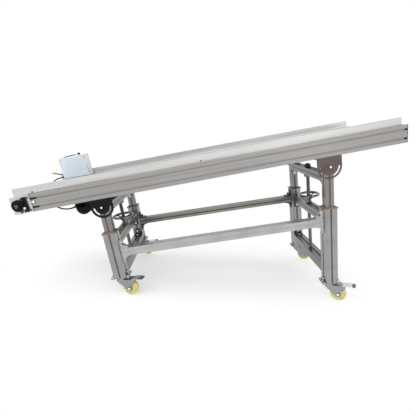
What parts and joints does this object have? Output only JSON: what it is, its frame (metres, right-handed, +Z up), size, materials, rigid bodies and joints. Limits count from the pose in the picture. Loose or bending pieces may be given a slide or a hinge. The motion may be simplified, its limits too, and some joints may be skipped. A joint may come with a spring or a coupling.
{
  "type": "portable belt conveyor",
  "caption": "Inclined flat belt conveyor on a wheeled stand of slotted aluminium; handwheel screws raise the telescoping posts and tilt the deck",
  "frame": {"origin": "centre of the bounding box's footprint at floor level, leads and connector not counted", "axes": "+X towards the high end of the belt, +Y to the side that carries the control box, +Z up"},
  "size_m": [1.8594, 0.6186, 0.9322],
  "materials": {
    "slotted_aluminium": "brushed",
    "cast_grey": "satin",
    "tan_plastic": "matte",
    "zinc_steel": "satin",
    "black_paint": "satin",
    "brown_grey_paint": "satin",
    "screw_steel": "satin",
    "bright_bolt": "polished",
    "wheel_chrome": "polished",
    "belt_rubber": "matte",
    "box_enamel": "satin",
    "black_plastic": "matte",
    "polyurethane": "satin",
    "lead_rubber": "matte",
    "connector_plastic": "gloss",
    "cover_paint": "satin"
  },
  "bodies": {
    "base": {"low_lower_posts": "slotted_aluminium", "high_lower_posts": "slotted_aluminium", "post_collars": "tan_plastic", "mid_crossbars": "slotted_aluminium", "bottom_crossbars": "slotted_aluminium", "side_beams": "slotted_aluminium", "beam_gussets": "cast_grey", "crossbar_gussets": "cast_grey", "caster_plates": "zinc_steel", "caster_angles": "zinc_steel"},
    "low_lift": {"low_upper_posts": "slotted_aluminium", "low_top_crossbar": "slotted_aluminium", "low_top_gussets": "cast_grey", "low_lift_screw": "screw_steel", "low_pivot_bolts": "bright_bolt"},
    "high_lift": {"high_upper_posts": "slotted_aluminium", "high_top_crossbar": "slotted_aluminium", "high_top_gussets": "cast_grey", "high_lift_screw": "screw_steel", "high_pivot_bolts": "bright_bolt"},
    "low_handwheel": {"low_handwheel": "wheel_chrome"},
    "high_handwheel": {"high_handwheel": "wheel_chrome"},
    "deck": {"side_rails": "slotted_aluminium", "rail_caps": "black_plastic", "side_guards": "slotted_aluminium", "belt": "belt_rubber", "drums": "zinc_steel", "slider_bed": "zinc_steel", "cross_ties": "zinc_steel", "end_plates": "slotted_aluminium", "clamp_strips": "slotted_aluminium", "drum_bearings": "black_paint", "low_tilt_brackets": "black_paint", "gear_motor": "black_paint", "motor_mount": "zinc_steel", "drive_cover": "cover_paint", "control_box": "box_enamel", "speed_knob": "black_plastic", "cable_glands": "black_plastic", "motor_lead": "lead_rubber", "power_lead": "lead_rubber", "lead_connector": "connector_plastic"},
    "high_brackets": {"high_tilt_brackets": "brown_grey_paint"},
    "low_near_swivel": {"low_near_fork": "zinc_steel", "low_near_pedal": "zinc_steel"},
    "low_near_roller": {"low_near_wheel": "polyurethane"},
    "low_far_swivel": {"low_far_fork": "zinc_steel", "low_far_pedal": "zinc_steel"},
    "low_far_roller": {"low_far_wheel": "polyurethane"},
    "high_near_swivel": {"high_near_fork": "zinc_steel", "high_near_pedal": "zinc_steel"},
    "high_near_roller": {"high_near_wheel": "polyurethane"},
    "high_far_swivel": {"high_far_fork": "zinc_steel", "high_far_pedal": "zinc_steel"},
    "high_far_roller": {"high_far_wheel": "polyurethane"}
  },
  "joints": [
    {"name": "height_lift", "type": "slide", "parent": "base", "child": "low_lift", "axis": [-0.193, 0, 0.9812], "range_m": [0, 0.085]},
    {"name": "tilt_lift", "type": "slide", "parent": "low_lift", "child": "high_lift", "axis": [-0.193, 0, 0.9812], "range_m": [0, 0.1]},
    {"name": "deck_tilt", "type": "hinge", "parent": "low_lift", "child": "deck", "pos_m": [-0.48258, 0.00901, 0.46046], "axis": [0, -1, 0], "range_deg": [0, 5.4]},
    {"name": "high_bracket_pivot", "type": "hinge", "parent": "high_lift", "child": "high_brackets", "pos_m": [0.55748, 0.00901, 0.69618], "axis": [0, -1, 0], "range_deg": [0, 5.4]},
    {"name": "low_handwheel_turn", "type": "hinge", "parent": "base", "child": "low_handwheel", "pos_m": [-0.45672, 0.00901, 0.32903], "axis": [-0.193, 0, 0.9812], "continuous": true},
    {"name": "high_handwheel_turn", "type": "hinge", "parent": "base", "child": "high_handwheel", "pos_m": [0.59657, 0.00901, 0.4975], "axis": [-0.193, 0, 0.9812], "continuous": true},
    {"name": "low_near_swivel_turn", "type": "hinge", "parent": "base", "child": "low_near_swivel", "pos_m": [-0.40963, -0.23099, 0.08962], "axis": [-0.193, 0, 0.9812], "continuous": true},
    {"name": "low_near_wheel_roll", "type": "hinge", "parent": "low_near_swivel", "child": "low_near_roller", "pos_m": [-0.3609, -0.24269, 0.04009], "axis": [0.2869, 0.9563, 0.0564], "continuous": true},
    {"name": "low_far_swivel_turn", "type": "hinge", "parent": "base", "child": "low_far_swivel", "pos_m": [-0.40963, 0.24901, 0.08962], "axis": [-0.193, 0, 0.9812], "continuous": true},
    {"name": "low_far_wheel_roll", "type": "hinge", "parent": "low_far_swivel", "child": "low_far_roller", "pos_m": [-0.3609, 0.23731, 0.04009], "axis": [0.2869, 0.9563, 0.0564], "continuous": true},
    {"name": "high_near_swivel_turn", "type": "hinge", "parent": "base", "child": "high_near_swivel", "pos_m": [0.67667, -0.23099, 0.09031], "axis": [-0.193, 0, 0.9812], "continuous": true},
    {"name": "high_near_wheel_roll", "type": "hinge", "parent": "high_near_swivel", "child": "high_near_roller", "pos_m": [0.72185, -0.25099, 0.04008], "axis": [0.4906, 0.866, 0.0965], "continuous": true},
    {"name": "high_far_swivel_turn", "type": "hinge", "parent": "base", "child": "high_far_swivel", "pos_m": [0.67667, 0.24901, 0.09031], "axis": [-0.193, 0, 0.9812], "continuous": true},
    {"name": "high_far_wheel_roll", "type": "hinge", "parent": "high_far_swivel", "child": "high_far_roller", "pos_m": [0.72185, 0.22901, 0.04008], "axis": [0.4906, 0.866, 0.0965], "continuous": true}
  ],
  "couplings": [
    {"joint": "deck_tilt", "follows": "tilt_lift", "rad_per_m": 0.9325},
    {"joint": "high_bracket_pivot", "follows": "tilt_lift", "rad_per_m": 0.9325}
  ]
}
